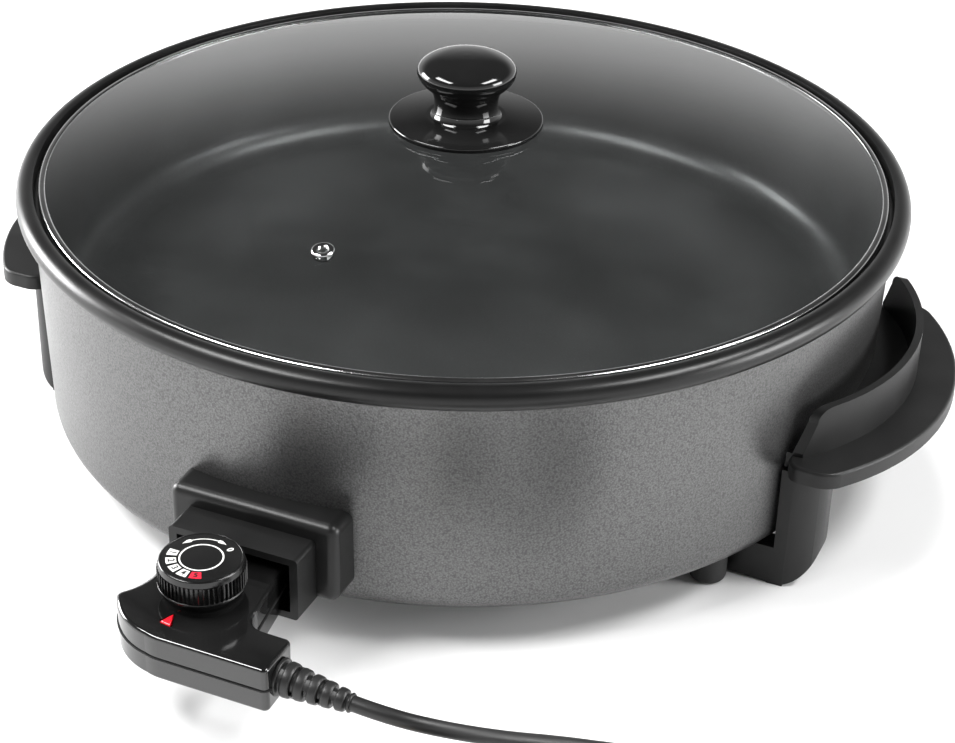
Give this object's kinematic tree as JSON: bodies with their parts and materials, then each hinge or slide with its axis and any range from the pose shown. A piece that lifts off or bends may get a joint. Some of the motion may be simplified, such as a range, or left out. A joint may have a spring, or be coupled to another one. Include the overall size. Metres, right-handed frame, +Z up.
{
  "type": "electric skillet",
  "caption": "Round electric skillet: deep non-stick pan in a painted casing, lift-off domed glass lid, side handles over legs, and a plug-in dial control with its cord.",
  "frame": {"origin": "middle of the bottom of the part's bounding box, measured without the cord, its coil and the plug; the floor is z = 0 and the pan's axis stands at x = 0, y = 0.0405 m", "axes": "+Z up, -Y towards the plug-in control, +X towards the handle on the cord's side"},
  "size_m": [0.5412, 0.5526, 0.2032],
  "materials": {
    "pan_coating": "cast aluminium with a satin black non-stick coating",
    "casing_paint": "hammered grey paint, semi-gloss",
    "zinc_steel": "zinc-plated sheet",
    "screw_steel": "plated steel",
    "element_sheath": "heat-stained steel tube",
    "bright_steel": "bright stainless steel",
    "ceramic": "glazed ceramic, unpainted",
    "cast_well": "bare cast aluminium",
    "socket_plastic": "satin black heat-proof moulding",
    "handle_plastic": "satin charcoal heat-proof moulding",
    "foot_rubber": "matt rubber",
    "lid_clear": "clear tempered glass",
    "knob_gloss": "gloss black moulding",
    "brass": "plain brass",
    "seal_rubber": "pale silicone rubber",
    "control_gloss": "gloss black moulding",
    "inner_plastic": "brown moulding compound",
    "bimetal": "bonded two-metal strip",
    "lamp": "clear neon lamp tube",
    "lens_red": "clear red moulding",
    "relief_rubber": "satin black rubber",
    "cord_sheath": "satin black rubber sheath",
    "plug_plastic": "satin black moulded-on plug",
    "dial_black": "gloss black moulding with a ribbed skirt",
    "dial_print": "black face printed with plain numbers, a ring and an arc"
  },
  "bodies": {
    "pan": {"inner_pan": "pan_coating", "outer_casing": "casing_paint", "bottom_cover": "zinc_steel", "cover_screws": "screw_steel", "centre_stud": "zinc_steel", "centre_nut": "zinc_steel", "heating_element": "element_sheath", "terminal_pins": "bright_steel", "terminal_beads": "ceramic", "sensor_well": "cast_well", "socket_housing": "socket_plastic", "socket_screws": "screw_steel", "handle_left": "handle_plastic", "handle_right": "handle_plastic", "handle_screws": "screw_steel", "leg_front_left": "handle_plastic", "leg_front_right": "handle_plastic", "leg_rear_left": "handle_plastic", "leg_rear_right": "handle_plastic", "foot_front_left": "foot_rubber", "foot_front_right": "foot_rubber", "foot_rear_left": "foot_rubber", "foot_rear_right": "foot_rubber", "underside_screws": "screw_steel"},
    "lid": {"lid_glass": "lid_clear", "lid_band": "bright_steel", "vent_eyelet": "bright_steel", "knob_disc": "knob_gloss", "lid_knob": "knob_gloss", "knob_insert": "brass", "knob_seal": "seal_rubber", "knob_washer": "screw_steel", "knob_screw": "screw_steel"},
    "control": {"control_upper": "control_gloss", "control_lower": "control_gloss", "control_screws": "screw_steel", "sensing_probe": "bright_steel", "contact_sleeves": "brass", "switch_block": "inner_plastic", "bimetal_strip": "bimetal", "contact_leaf": "brass", "pilot_lamp": "lamp", "pointer_lens": "lens_red", "cord_clamp": "inner_plastic", "strain_relief": "relief_rubber", "supply_cord": "cord_sheath", "cord_coil": "cord_sheath", "cord_tail": "cord_sheath", "plug_body": "plug_plastic", "plug_pins": "brass", "plug_earth_clips": "bright_steel"},
    "dial": {"temperature_dial": "dial_black", "dial_face": "dial_print", "dial_spindle": "inner_plastic"}
  },
  "joints": [
    {"name": "lid_lift", "type": "slide", "parent": "pan", "child": "lid", "axis": [0, 0, 1], "range_m": [0, 0.25]},
    {"name": "control_unplug", "type": "slide", "parent": "pan", "child": "control", "axis": [0, -1, 0], "range_m": [0, 0.12]},
    {"name": "dial_turn", "type": "hinge", "parent": "control", "child": "dial", "pos_m": [0, -0.228, 0.0625], "axis": [0, 0, 1], "range_deg": [-29, 208]}
  ]
}
